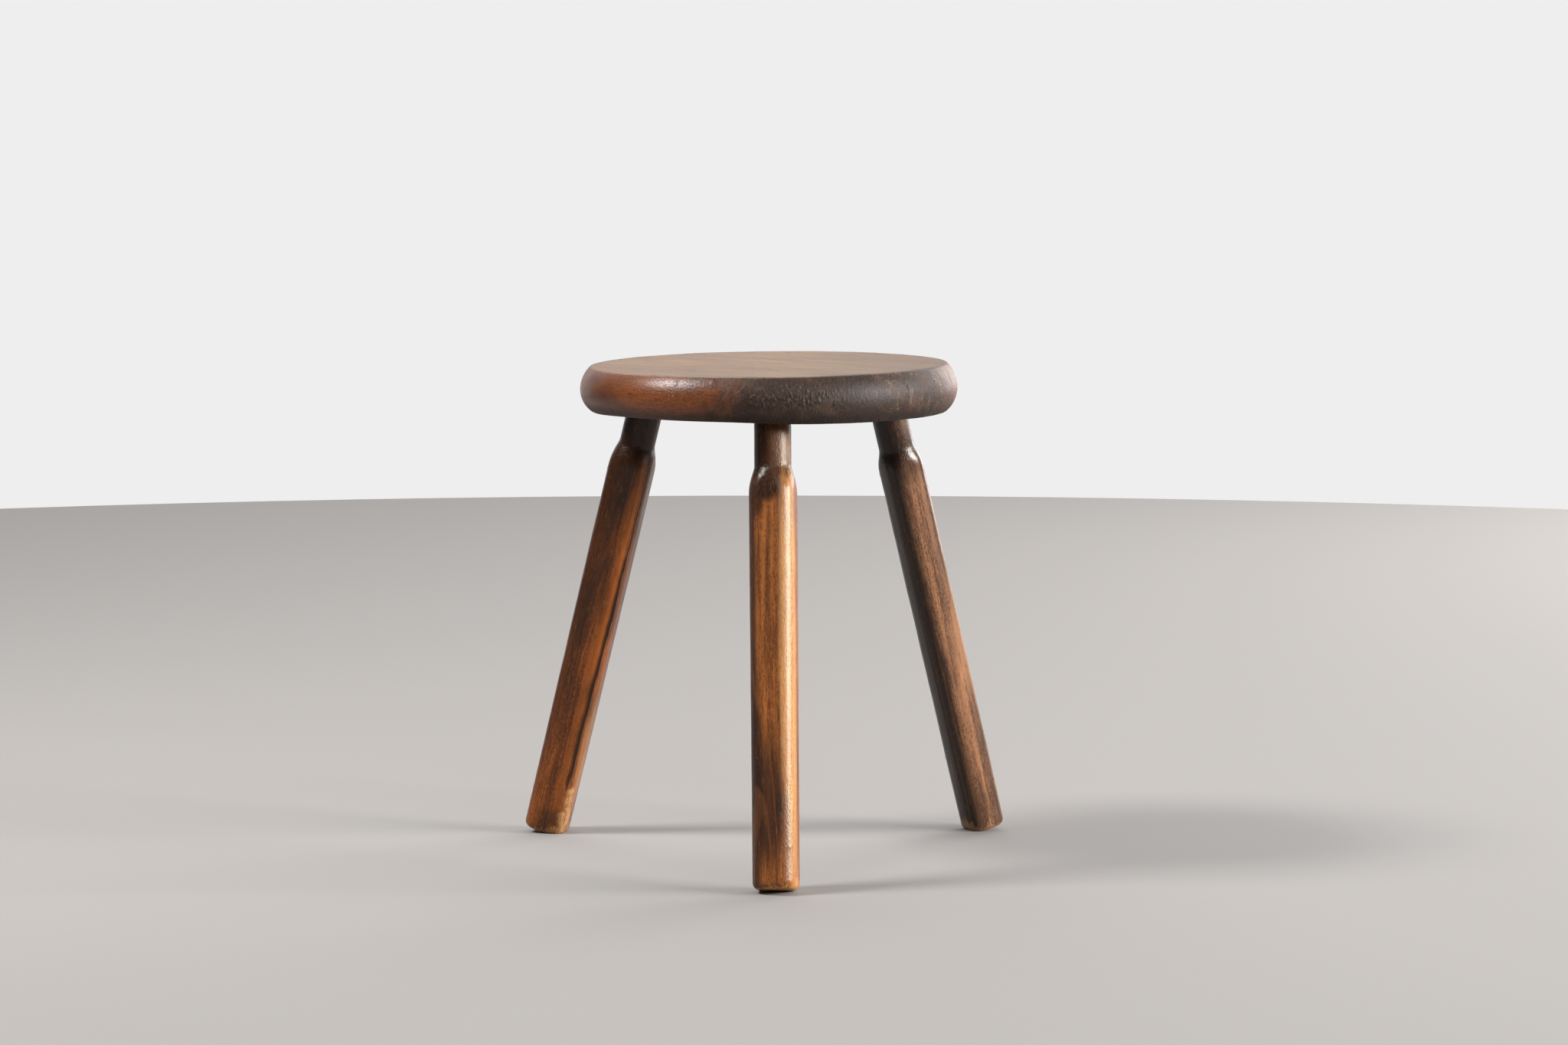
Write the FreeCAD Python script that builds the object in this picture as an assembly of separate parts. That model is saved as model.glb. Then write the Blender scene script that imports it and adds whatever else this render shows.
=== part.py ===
# Three-legged stool: a thick round plank seat on three splayed legs. Each leg has a round
# tenon in a blind mortise, and a wedge hidden in the tenon's saw kerf spreads it there.
# Millimetres, +Z up, origin on the floor under the middle of the seat, front leg towards -Y.
import FreeCAD, Part
import math
import os
from FreeCAD import Placement, Rotation, Vector

os.makedirs("parts", exist_ok=True)

# Seat: one plank, flat above and below, with a swelling edge all round
seat_diameter = 316.5
seat_height = 412.0
seat_thickness = 38.5
edge_widest_depth = 20.0
upper_swell_radius = 27.0
lower_swell_radius = 23.0
top_softening = 6.0
bottom_softening = 3.0
seat_grain_azimuth = -45.0

# Stance of the legs: where their axes leave the seat, and how far they lean outwards
leg_circle_radius = 118.0
leg_splay = 15.15

# Each leg's azimuth, the side of its square body, how far its faces are turned from radial,
# and how far down from the seat its shoulder ends
legs = {
    "front": {"azimuth": -90.0, "side": 37.5, "turn": -16.5, "shoulder": 61.5},
    "left": {"azimuth": 150.0, "side": 38.3, "turn": 16.5, "shoulder": 59.0},
    "right": {"azimuth": 30.0, "side": 35.6, "turn": -4.5, "shoulder": 59.0},
}

# Leg body: a square bar with shaved corners, a little slimmer at the foot
corner_chamfer_share = 0.2
arris_radius = 9.0
foot_taper = 0.952
foot_rim_bevel = 3.2
foot_axis_height = 1.9

# Neck and shoulder
neck_diameter = 30.4
hollow_radius = 14.0
shoulder_slope = 20.0
shoulder_round = 18.0
shoulder_margin = 0.4

# Blind tenon, its mortise, and the wedge in its kerf
mortise_depth = 29.0
tenon_gap = 1.0
kerf_depth = 21.0
kerf_tip_thickness = 1.6
kerf_mouth_thickness = 4.4
wedge_tip_gap = 2.0

# Values that follow from the driving dimensions
underside = seat_height - seat_thickness
widest = Vector(seat_diameter / 2, 0, seat_height - edge_widest_depth)
neck_radius = neck_diameter / 2
tenon_end = mortise_depth - tenon_gap
lean = math.radians(leg_splay)
foot_end = -(underside - foot_axis_height) / math.cos(lean)
slab_reach = 2 * neck_diameter
room = seat_diameter


def leg_placement(azimuth):
    """Leg axes: local Z climbs the leg to the seat, local X points outwards, origin at the underside."""
    angle = math.radians(azimuth)
    out = Vector(math.cos(angle), math.sin(angle), 0)
    turn = Rotation(Vector(0, 0, 1), azimuth).multiply(Rotation(Vector(0, 1, 0), -leg_splay))
    return Placement(out * leg_circle_radius + Vector(0, 0, underside), turn)


def arc(start, middle, end):
    return Part.Arc(start, middle, end).toShape()


def line(start, end):
    return Part.LineSegment(start, end).toShape()


def spin(edges):
    """Solid of revolution about Z from a closed outline in the XZ plane."""
    outline = Part.Face(Part.Wire(edges))
    return outline.revolve(Vector(0, 0, 0), Vector(0, 0, 1), 360)


def on_arc(centre, radius, angle, side=1):
    """Point of an arc in the XZ plane, its angle measured from +X up, or down where the side is -1."""
    return centre + Vector(radius * math.cos(angle), 0, side * radius * math.sin(angle))


def half_edge(radius, rise, softening):
    """The seat's edge from its widest line to a flat face: a swell, then a softening that runs out level."""
    side = math.copysign(1, rise)
    centre = widest - Vector(radius, 0, 0)
    level = math.pi / 2
    touch_angle = math.asin((abs(rise) - softening) / (radius - softening))
    touch = on_arc(centre, radius, touch_angle, side)
    soft_centre = on_arc(centre, radius - softening, touch_angle, side)
    soft_middle = on_arc(soft_centre, softening, (touch_angle + level) / 2, side)
    flat = on_arc(soft_centre, softening, level, side)
    swell = arc(widest, on_arc(centre, radius, touch_angle / 2, side), touch)
    return swell, arc(touch, soft_middle, flat), flat


def plain_seat():
    """The plank: its edge swells to the widest line, and is softened where it meets the flat faces."""
    upper_swell, top_arc, top_edge = half_edge(upper_swell_radius, edge_widest_depth, top_softening)
    lower_rise = edge_widest_depth - seat_thickness
    lower_swell, bottom_arc, bottom_edge = half_edge(lower_swell_radius, lower_rise, bottom_softening)
    top_middle = Vector(0, 0, seat_height)
    bottom_middle = Vector(0, 0, underside)
    edges = [
        line(top_middle, top_edge),
        top_arc,
        upper_swell,
        lower_swell,
        bottom_arc,
        line(bottom_edge, bottom_middle),
        line(bottom_middle, top_middle),
    ]
    return spin(edges)


def tapered_slab(azimuth, bottom, top, bottom_thickness, top_thickness):
    """Slab between two heights on the leg, of changing thickness, whose normal has this azimuth."""
    corners = [
        Vector(bottom_thickness / 2, -slab_reach, bottom),
        Vector(top_thickness / 2, -slab_reach, top),
        Vector(-top_thickness / 2, -slab_reach, top),
        Vector(-bottom_thickness / 2, -slab_reach, bottom),
    ]
    outline = Part.Face(Part.makePolygon(corners + corners[:1]))
    slab = outline.extrude(Vector(0, 2 * slab_reach, 0))
    slab.rotate(Vector(0, 0, 0), Vector(0, 0, 1), azimuth)
    return slab


def square_bar(side, turn):
    """The tapered bar the leg is shaved from: four flats, four shaved corners, a worn foot rim."""
    top_scale = 1 + (1 - foot_taper) * mortise_depth / -foot_end
    across_corners = side * (1 - corner_chamfer_share) * math.sqrt(2)
    bar = None
    for azimuth, width in ((0, side), (90, side), (45, across_corners), (135, across_corners)):
        slab = tapered_slab(turn + azimuth, foot_end, mortise_depth, width * foot_taper, width * top_scale)
        bar = bar.common(slab) if bar else slab
    arrises = [e for e in bar.Edges if e.Length > mortise_depth - foot_end]
    bar = bar.makeFillet(arris_radius, arrises)
    rim = [e for e in bar.Edges if e.BoundBox.ZMax < foot_end + foot_rim_bevel / 10]
    return bar.makeChamfer(foot_rim_bevel, rim)


def turned_form(side, shoulder_end):
    """Tenon, neck and shoulder as one turned form, wider than the bar from the shoulder down."""
    half = side / 2
    inner = half - side * corner_chamfer_share
    full = math.hypot(half, inner) + shoulder_margin
    # From the neck down: a hollow, a straight slope, and a round that ends level with the bar
    slope = math.radians(shoulder_slope)
    round_centre = Vector(full - shoulder_round, 0, -shoulder_end)
    round_top = on_arc(round_centre, shoulder_round, slope)
    round_middle = on_arc(round_centre, shoulder_round, slope / 2)
    hollow_x = neck_radius + hollow_radius
    slope_width = round_top.x - (hollow_x - hollow_radius * math.cos(slope))
    slope_top = round_top + Vector(-slope_width, 0, slope_width / math.tan(slope))
    hollow_centre = slope_top + Vector(hollow_radius * math.cos(slope), 0, hollow_radius * math.sin(slope))
    hollow_middle = on_arc(hollow_centre, -hollow_radius, slope / 2)
    top_middle = Vector(0, 0, tenon_end)
    tenon_corner = Vector(neck_radius, 0, tenon_end)
    neck_bottom = Vector(neck_radius, 0, hollow_centre.z)
    shoulder_bottom = Vector(full, 0, -shoulder_end)
    foot_corner = Vector(full, 0, foot_end)
    foot_middle = Vector(0, 0, foot_end)
    edges = [
        line(top_middle, tenon_corner),
        line(tenon_corner, neck_bottom),
        arc(neck_bottom, hollow_middle, slope_top),
        line(slope_top, round_top),
        arc(round_top, round_middle, shoulder_bottom),
        line(shoulder_bottom, foot_corner),
        line(foot_corner, foot_middle),
        line(foot_middle, top_middle),
    ]
    return spin(edges)


def wedge_prism(azimuth, bottom, top):
    """The kerf's tapered space through the tenon, across the seat's grain, between two heights."""
    tip = tenon_end - kerf_depth
    growth = (kerf_mouth_thickness - kerf_tip_thickness) / kerf_depth
    at_bottom = kerf_tip_thickness + growth * (bottom - tip)
    at_top = kerf_tip_thickness + growth * (top - tip)
    return tapered_slab(seat_grain_azimuth - azimuth, bottom, top, at_bottom, at_top)


def make_leg(leg):
    """The bar cut to the turned form, kerfed at its tenon and worn level where it stands."""
    form = square_bar(leg["side"], leg["turn"]).common(turned_form(leg["side"], leg["shoulder"]))
    kerf_bottom = tenon_end - kerf_depth
    form = form.cut(wedge_prism(leg["azimuth"], kerf_bottom, mortise_depth))
    form.Placement = leg_placement(leg["azimuth"])
    below_floor = Part.makeBox(4 * room, 4 * room, room, Vector(-2 * room, -2 * room, -room))
    return form.cut(below_floor)


def make_wedge(leg):
    """The wedge fills the kerf but for a gap at its tip, and butts on the mortise's end."""
    tip = tenon_end - kerf_depth + wedge_tip_gap
    tenon = Part.makeCylinder(neck_radius, mortise_depth)
    wedge = wedge_prism(leg["azimuth"], tip, mortise_depth).common(tenon)
    wedge.Placement = leg_placement(leg["azimuth"])
    return wedge


def make_seat():
    """The plank with a blind mortise bored along each leg's axis."""
    seat = plain_seat()
    for leg in legs.values():
        clear = seat_thickness
        bore = Part.makeCylinder(neck_radius, mortise_depth + clear, Vector(0, 0, -clear))
        bore.Placement = leg_placement(leg["azimuth"])
        seat = seat.cut(bore)
    return seat


nodes = {"seat": make_seat()}
for name, leg in legs.items():
    nodes["leg_" + name] = make_leg(leg)
    nodes["wedge_" + name] = make_wedge(leg)

for name, shape in nodes.items():
    solid = shape.Solids[0]
    solid.exportStep("parts/" + name + ".step")
    box = solid.optimalBoundingBox(True, False)
    print(f"{name}: {len(shape.Solids)} solid, valid {solid.isValid()}, {solid.Volume / 1000:.1f} cm3, "
          f"Z {box.ZMin:.2f} to {box.ZMax:.2f}")
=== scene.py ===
# Three-legged stool: a thick plank seat on three shaved legs, stained, waxed and worn by use.
# Metres, in the same frame as the CAD: floor at z = 0, front leg towards -Y.
import bpy
from functools import partial
from math import asin, cos, hypot, pi, radians, sin, sqrt, tan
from mathutils import Matrix, Vector


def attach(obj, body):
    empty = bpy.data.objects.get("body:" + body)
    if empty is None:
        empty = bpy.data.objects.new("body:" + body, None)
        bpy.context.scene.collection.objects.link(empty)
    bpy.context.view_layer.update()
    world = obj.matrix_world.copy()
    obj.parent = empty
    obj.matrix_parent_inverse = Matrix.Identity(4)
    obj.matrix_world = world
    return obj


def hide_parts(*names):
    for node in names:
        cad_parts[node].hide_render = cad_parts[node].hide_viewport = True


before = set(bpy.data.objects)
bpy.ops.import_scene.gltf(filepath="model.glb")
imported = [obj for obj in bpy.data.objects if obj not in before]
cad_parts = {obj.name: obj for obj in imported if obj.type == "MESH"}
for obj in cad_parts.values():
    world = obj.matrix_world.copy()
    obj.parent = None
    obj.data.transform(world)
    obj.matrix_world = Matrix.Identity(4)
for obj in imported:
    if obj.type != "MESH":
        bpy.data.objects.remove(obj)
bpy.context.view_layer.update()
print("frame loaded:", ", ".join(sorted(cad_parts)))

mm = 0.001


def tone(red, green, blue):
    linear = [((c / 255 + 0.055) / 1.055) ** 2.4 for c in (red, green, blue)]    # from screen values
    return (*linear, 1.0)


# Small helpers for node trees. Most work in the tree of the sockets that they are given.

def isSocket(value):
    return isinstance(value, bpy.types.NodeSocket)


def treeOf(*values):
    return next(value.id_data for value in values if isSocket(value))


def feed(socket, value):
    if isSocket(value):
        socket.id_data.links.new(value, socket)
    else:
        socket.default_value = value


def addNode(tree, kind, inputs=None, **settings):
    node = tree.nodes.new(kind)
    for name, value in settings.items():
        setattr(node, name, value)
    for key, value in (inputs or {}).items():
        feed(node.inputs[key], value)
    return node


def calc(operation, *values, clamp=False):
    inputs = dict(enumerate(values))
    node = addNode(treeOf(*values), "ShaderNodeMath", inputs, operation=operation, use_clamp=clamp)
    return node.outputs[0]


def chain(operation, first, *others):
    for other in others:
        first = calc(operation, first, other)
    return first


plus, times, larger = [partial(chain, operation) for operation in ("ADD", "MULTIPLY", "MAXIMUM")]
minus, over = partial(calc, "SUBTRACT"), partial(calc, "DIVIDE")
sine, cosine, absolute = [partial(calc, operation) for operation in ("SINE", "COSINE", "ABSOLUTE")]


def wrapped(angle):
    return calc("WRAP", angle, -pi, pi)


def vectorNode(operation, inputs):
    return addNode(treeOf(*inputs.values()), "ShaderNodeVectorMath", inputs, operation=operation).outputs


def vectorCalc(operation, first, second):
    return vectorNode(operation, {0: first, 1: second})[0]


def scaled(vector, amount):
    return vectorNode("SCALE", {0: vector, "Scale": amount})[0]


def lengthOf(vector):
    return vectorNode("LENGTH", {0: vector})["Value"]


def joinXyz(x=0.0, y=0.0, z=0.0):
    return addNode(treeOf(x, y, z), "ShaderNodeCombineXYZ", {"X": x, "Y": y, "Z": z}).outputs[0]


def splitXyz(vector):
    return addNode(vector.id_data, "ShaderNodeSeparateXYZ", {"Vector": vector}).outputs


def ramp(value, fromLow, fromHigh, low=0.0, high=1.0, smooth=True, clamp=True):
    kind = "SMOOTHSTEP" if smooth else "LINEAR"
    inputs = {"Value": value, "From Min": fromLow, "From Max": fromHigh, "To Min": low, "To Max": high}
    node = addNode(value.id_data, "ShaderNodeMapRange", inputs, interpolation_type=kind, clamp=clamp)
    return node.outputs["Result"]


def between(value, start, end, fade):
    return times(ramp(value, start - fade, start + fade), ramp(value, end + fade, end - fade))


def noise(vector, scale=1.0, detail=2.0, roughness=0.5, distortion=0.0):
    inputs = {
        "Vector": vector, "Scale": scale, "Detail": detail, "Roughness": roughness, "Distortion": distortion}
    return addNode(vector.id_data, "ShaderNodeTexNoise", inputs).outputs["Fac"]


# Noise centred on zero
def waver(vector, amount, *settings):
    return times(minus(noise(vector, *settings), 0.5), amount)


# Values by the labels of their sockets: tickWidth becomes Tick Width
def labelled(values):
    spaced = {"".join(" " + c if c.isupper() else c for c in name): name for name in values}
    return {label.title(): values[name] for label, name in spaced.items()}


number, whole, words, vector3 = "NodeSocketFloat", "NodeSocketInt", "NodeSocketString", "NodeSocketVector"
shape, thing, finish = "NodeSocketGeometry", "NodeSocketObject", "NodeSocketMaterial"


# An input is given by its default, or by the kind of its socket where it has none
def newTree(name, treeKind, inputs, outputs, outputKind):
    tree = bpy.data.node_groups.new(name, treeKind)
    for label, given in inputs.items():
        socketKind = {float: number, int: whole}.get(type(given), given)
        socket = tree.interface.new_socket(label, in_out="INPUT", socket_type=socketKind)
        if socketKind != given:
            socket.default_value = given
    for label in outputs:
        tree.interface.new_socket(label, in_out="OUTPUT", socket_type=outputKind)
    return tree, tree.nodes.new("NodeGroupInput").outputs, tree.nodes.new("NodeGroupOutput").inputs


# Helpers for Geometry Nodes

def newFormTree(name, **inputs):
    return newTree(name, "GeometryNodeTree", {"Geometry": shape, **labelled(inputs)}, ["Geometry"], shape)


def fieldOf(tree, kind):
    return tree.nodes.new("GeometryNodeInput" + kind).outputs[0]


# One more step on a geometry
def work(geometry, kind, **inputs):
    return addNode(geometry.id_data, "GeometryNode" + kind, {"Geometry": geometry, **inputs}).outputs[0]


def pushOut(geometry, amount):
    normal = fieldOf(geometry.id_data, "Normal")
    return work(geometry, "SetPosition", Offset=scaled(normal, amount))


# A mask for the finish, stored before the points move
def storeMask(geometry, name, value):
    inputs = {"Geometry": geometry, "Name": name, "Value": value}
    kind = "GeometryNodeStoreNamedAttribute"
    return addNode(geometry.id_data, kind, inputs, data_type="FLOAT", domain="POINT").outputs[0]


# Geometry Nodes: a form turned to a profile, then shaved to flats wherever they cut into it.
# The profile is a row of points: x is the radius, y the share of it, z the height.

def buildTurnedForm():
    tree, given, result = newFormTree(
        "turnedForm",
        profile=thing, around=96, along=100,
        crowding=0.0, crowdedAzimuth=0.0,    # draws the columns together on one side
        side=1.0, shavedSide=1.0, turn=0.0,    # across the flats, and across the shaved corners
        arrisSoftness=0.002, shoulderSoftness=0.002,
        footHeight=-1.0, footTaper=1.0,
        shaveWander=0.0, shaveSeed=0.0,    # how unevenly the corners were shaved
    )
    seedStep, wavesPerMetre, grazing, arrisGain = 7.3, 14.0, 0.05, 6.0
    rows = {"Vertices X": plus(given["Around"], 1), "Vertices Y": given["Along"]}
    grid = addNode(tree, "GeometryNodeMeshGrid", rows).outputs["Mesh"]    # one metre square
    place = splitXyz(fieldOf(tree, "Position"))
    around = times(plus(place["X"], 0.5), 2 * pi)
    lag = sine(minus(around, given["Crowded Azimuth"]))
    around = minus(around, times(lag, given["Crowding"]))
    row = calc("ROUND", times(plus(place["Y"], 0.5), minus(given["Along"], 1)))
    profile = addNode(tree, "GeometryNodeObjectInfo", {"Object": given["Profile"]}).outputs["Geometry"]
    wanted = {"Geometry": profile, "Value": fieldOf(tree, "Position"), "Index": row}
    sample = addNode(tree, "GeometryNodeSampleIndex", wanted, data_type="FLOAT_VECTOR", domain="POINT")
    radius, share, height = splitXyz(sample.outputs["Value"])

    # How far the flats lie from the axis, looking out at this angle
    taper = ramp(height, 0.0, given["Foot Height"], 1.0, given["Foot Taper"], smooth=False, clamp=False)
    flats = sharp = None
    for index, across in enumerate(("Side", "Shaved Side") * 2):
        facing = cosine(minus(around, plus(given["Turn"], index * pi / 4)))
        half = times(given[across], 0.5)
        if across == "Shaved Side":
            seed = plus(given["Shave Seed"], seedStep * index)
            spot = joinXyz(seed, calc("SIGN", facing), times(height, wavesPerMetre))
            half = plus(half, waver(spot, given["Shave Wander"]))
        reach = over(times(half, taper), larger(absolute(facing), grazing))
        flats = calc("SMOOTH_MIN", flats, reach, given["Arris Softness"]) if flats else reach
        sharp = calc("MINIMUM", sharp, reach) if sharp else reach
    out = times(calc("SMOOTH_MIN", radius, flats, given["Shoulder Softness"]), share)
    position = joinXyz(times(cosine(around), out), times(sine(around), out), height)

    # An arris is where the flats were rounded over
    rounding = over(minus(sharp, flats), given["Arris Softness"])
    inFlats = ramp(minus(radius, sharp), -1 * mm, 1 * mm)
    arris = times(calc("MULTIPLY", rounding, arrisGain, clamp=True), inFlats)
    formed = work(storeMask(grid, "arris", arris), "SetPosition", Position=position)
    feed(result["Geometry"], work(formed, "MergeByDistance", Distance=0.002 * mm))
    return tree


# Geometry Nodes: the marks of hand work and use, pressed into any turned form

def buildHandWear():
    tree, given, result = newFormTree(
        "handWear",
        waveSize=0.04, waveDepth=0.0003,
        dentDensity=1500.0,    # dents on a square metre
        dentRadius=0.003, dentDepth=0.0003,
        floorTilt=0.0, floorDrop=10.0,    # the floor's slope, and its depth under the origin
        seed=1, finish=finish,
    )
    dentBreaks, seedStep = 180.0, 3.7
    position = fieldOf(tree, "Position")
    thrown = {"Mesh": given["Geometry"], "Density": given["Dent Density"], "Seed": given["Seed"]}
    points = addNode(tree, "GeometryNodeDistributePointsOnFaces", thrown).outputs["Points"]
    near = addNode(tree, "GeometryNodeProximity", {0: points}, target_element="POINTS")
    dent = ramp(near.outputs["Distance"], given["Dent Radius"], 0.0)
    dent = times(dent, ramp(noise(position, dentBreaks, 1.0), 0.4, 0.65))
    spot = vectorCalc("ADD", position, joinXyz(times(given["Seed"], seedStep)))
    wave = waver(spot, times(given["Wave Depth"], 2.0), over(1.0, given["Wave Size"]))
    rise = minus(wave, times(dent, given["Dent Depth"]))
    pressed = pushOut(storeMask(given["Geometry"], "dent", dent), rise)

    # What would reach through the floor is worn off level
    x, y, z = splitXyz(fieldOf(tree, "Position"))
    drop = plus(given["Floor Drop"], times(x, sine(given["Floor Tilt"])))
    lowest = minus(0.0, over(drop, cosine(given["Floor Tilt"])))
    level = work(pressed, "SetPosition", Position=joinXyz(x, y, larger(z, lowest)))
    feed(result["Geometry"], work(work(level, "RealizeInstances"), "SetMaterial", Material=given["Finish"]))
    return tree


# Geometry Nodes: torn fibres on the plank's two end-grain stretches, thickest where the plane caught

def buildEndGrainScars():
    tree, given, result = newFormTree(
        "endGrainScars",
        azimuth=0.0, spread=0.7,
        caughtAzimuth=0.0, caughtSpread=0.3, caughtLow=0.38, caughtHigh=0.41,
        elsewhere=0.3,    # strength away from where the plane caught
        rimRadius=0.15, seatRadius=0.1575,
        tickWidth=0.0016, tickHeight=0.008, tickDepth=0.0004, seed=0.0,
    )
    clumpsAround, clumpsUp, raisedShare = 60.0, 90.0, 0.6
    x, y, z = splitXyz(fieldOf(tree, "Position"))
    angle = calc("ARCTAN2", y, x)
    away = absolute(wrapped(minus(angle, given["Azimuth"])))
    nearest = calc("MINIMUM", away, minus(pi, away))
    atEnds = ramp(nearest, plus(given["Spread"], 0.2), minus(given["Spread"], 0.1))
    onEdge = ramp(lengthOf(joinXyz(x, y)), given["Rim Radius"], plus(given["Rim Radius"], 4 * mm))
    aside = absolute(wrapped(minus(angle, given["Caught Azimuth"])))
    caught = times(
        ramp(aside, times(given["Caught Spread"], 1.6), times(given["Caught Spread"], 0.7)),
        ramp(z, given["Caught Low"], plus(given["Caught Low"], 6 * mm)),
        ramp(z, given["Caught High"], minus(given["Caught High"], 4 * mm)))
    zone = times(atEnds, onEdge, larger(caught, given["Elsewhere"]))
    arc = times(angle, given["Seat Radius"])
    clump = noise(joinXyz(times(arc, clumpsAround), times(z, clumpsUp), given["Seed"]))
    strength = times(zone, ramp(clump, 0.3, 0.5))
    cell = joinXyz(over(arc, given["Tick Width"]), over(z, given["Tick Height"]), given["Seed"])
    fibres = noise(cell, 1.0, 2.0, 0.6, 0.5)
    raised = times(ramp(fibres, 0.54, 0.68), strength)
    torn = times(ramp(fibres, 0.46, 0.34), strength)
    rise = times(minus(times(raised, raisedShare), torn), given["Tick Depth"])
    kept = storeMask(storeMask(given["Geometry"], "raised", raised), "torn", torn)
    feed(result["Geometry"], pushOut(kept, rise))
    return tree


# Geometry Nodes: a split that wanders down a form, of uneven width, and closes at both ends

def buildDrySplit():
    tree, given, result = newFormTree(
        "drySplit",
        azimuth=0.0, radius=0.02,
        lean=0.0,    # how far it moves round the form on its way up
        top=0.0, length=0.1,
        fade=0.1,    # share of the length over which it closes
        width=0.001, depth=0.001, wander=0.004, wanderSize=0.008,
        maskName=words, haloName=words, seed=0.0,
    )
    swayPlace, swellPlace, leastWidth = 4.0, 9.0, 0.01 * mm
    x, y, z = splitXyz(fieldOf(tree, "Position"))
    turn = wrapped(minus(calc("ARCTAN2", y, x), given["Azimuth"]))
    arc = minus(times(turn, given["Radius"]), times(z, given["Lean"]))
    along = over(z, given["Wander Size"])
    swell = ramp(noise(joinXyz(swellPlace, given["Seed"], along), 0.5, 1.0), 0.35, 0.65, 0.4, 1.0)
    aside = absolute(minus(arc, waver(joinXyz(swayPlace, given["Seed"], along), given["Wander"])))
    down = over(minus(given["Top"], z), given["Length"])
    body = times(ramp(down, 0.0, given["Fade"]), ramp(down, 1.0, minus(1.0, given["Fade"])))
    width = larger(times(given["Width"], swell, body), leastWidth)
    split = times(ramp(aside, width, times(width, 0.3)), body)
    halo = times(ramp(aside, times(width, 2.6), times(width, 0.6)), swell)
    sink = times(split, swell, times(given["Depth"], -1.0))
    kept = storeMask(given["Geometry"], given["Halo Name"], halo)
    kept = storeMask(kept, given["Mask Name"], split)
    feed(result["Geometry"], pushOut(kept, sink))
    return tree


# Geometry Nodes: the plank is not of one thickness, and its lower rim is rounded off at one place

def buildUnevenPlank():
    tree, given, result = newFormTree(
        "unevenPlank",
        top=0.4, thickness=0.04,
        topTilt=0.0, topLift=0.0,    # rise of the top towards +X, and of all of it
        wornAzimuth=0.0, wornRise=0.0, innerRadius=0.1, outerRadius=0.15,
    )
    x, y, z = splitXyz(fieldOf(tree, "Position"))
    upper = ramp(z, minus(given["Top"], given["Thickness"]), given["Top"], smooth=False)
    tilt = plus(times(x, given["Top Tilt"]), given["Top Lift"])
    turn = minus(calc("ARCTAN2", y, x), given["Worn Azimuth"])
    onRim = ramp(lengthOf(joinXyz(x, y)), given["Inner Radius"], given["Outer Radius"])
    worn = times(ramp(cosine(turn), 0.7, 1.0), onRim, given["Worn Rise"])
    rise = plus(times(tilt, upper), times(worn, minus(1.0, upper)))
    level = ramp(z, minus(given["Top"], 0.8 * mm), minus(given["Top"], 0.2 * mm))
    kept = storeMask(given["Geometry"], "topFace", level)
    feed(result["Geometry"], work(kept, "SetPosition", Offset=joinXyz(0.0, 0.0, rise)))
    return tree


turnedForm = buildTurnedForm()
handWear = buildHandWear()
endGrainScars = buildEndGrainScars()
drySplit = buildDrySplit()
unevenPlank = buildUnevenPlank()
print("form, wear and scar trees built")


def addTree(piece, tree, **values):
    modifier = piece.modifiers.new(tree.name, "NODES")
    modifier.node_group = tree
    settings = labelled(values)
    for item in tree.interface.items_tree:
        if item.in_out == "INPUT" and item.name in settings:
            modifier[item.identifier] = settings[item.name]


def newObject(name, data=None):
    made = bpy.data.objects.new(name, data or bpy.data.meshes.new(name))
    bpy.context.scene.collection.objects.link(made)
    return made


def profileLine(name, points):
    mesh = bpy.data.meshes.new(name)
    mesh.from_pydata(points, [(i, i + 1) for i in range(len(points) - 1)], [])
    return newObject(name, mesh)


# The finished modifiers become one plain mesh, put in place with the piece still at the origin
def settle(piece, place=Matrix.Identity(4)):
    graph = bpy.context.evaluated_depsgraph_get()
    mesh = bpy.data.meshes.new_from_object(piece.evaluated_get(graph), depsgraph=graph)
    piece.modifiers.clear()
    mesh.transform(place)
    mesh.shade_smooth()
    mesh.set_sharp_from_angle(angle=radians(50))
    piece.data = mesh


def discard(*helpers):
    for helper in helpers:
        bpy.data.objects.remove(helper)


def arcPoints(centreX, centreZ, radius, start, end, steps):
    angles = [start + (end - start) * step / steps for step in range(steps + 1)]
    return [(centreX + radius * cos(angle), 1.0, centreZ + radius * sin(angle)) for angle in angles]


def straightPoints(start, end, steps):
    a, b = Vector(start), Vector(end)
    return [tuple(a.lerp(b, step / steps)) for step in range(steps + 1)]


# Seat: one plank with a swelling edge, the same sizes as the CAD node

seatShape = dict(
    diameter=316.5 * mm, top=412 * mm, thickness=38.5 * mm, widestDepth=20 * mm,
    upperSwell=27 * mm, lowerSwell=23 * mm, topSoftening=4 * mm, bottomSoftening=3 * mm,
    columns=880, crowding=0.35, crowdedAzimuth=radians(-60),
    flatRings=14, swellRings=22, softRings=6,
    boreRadius=15.25 * mm, boreDepth=29 * mm, boreColumns=64,
    scars=dict(
        azimuth=radians(-66), spread=radians(40), caughtAzimuth=radians(-84),
        caughtSpread=radians(13), caughtLow=383 * mm, caughtHigh=409 * mm, elsewhere=0.3,
        rimRadius=146 * mm, tickWidth=1.35 * mm, tickHeight=3.6 * mm, tickDepth=0.55 * mm,
        seed=8.0),
    split=dict(
        azimuth=radians(-45), top=408 * mm, length=22 * mm, fade=0.3, width=0.9 * mm,
        depth=1.2 * mm, wander=8 * mm, wanderSize=8 * mm, seed=8.0,
        maskName="split", haloName="halo"),
    uneven=dict(
        topTilt=0.011, topLift=0.3 * mm, wornAzimuth=radians(-122), wornRise=1.6 * mm,
        innerRadius=125 * mm, outerRadius=148 * mm),
    wear=dict(
        waveSize=70 * mm, waveDepth=0.5 * mm, dentDensity=900.0, dentRadius=4 * mm,
        dentDepth=0.25 * mm, seed=5),
)
seatRadius = seatShape["diameter"] / 2
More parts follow.
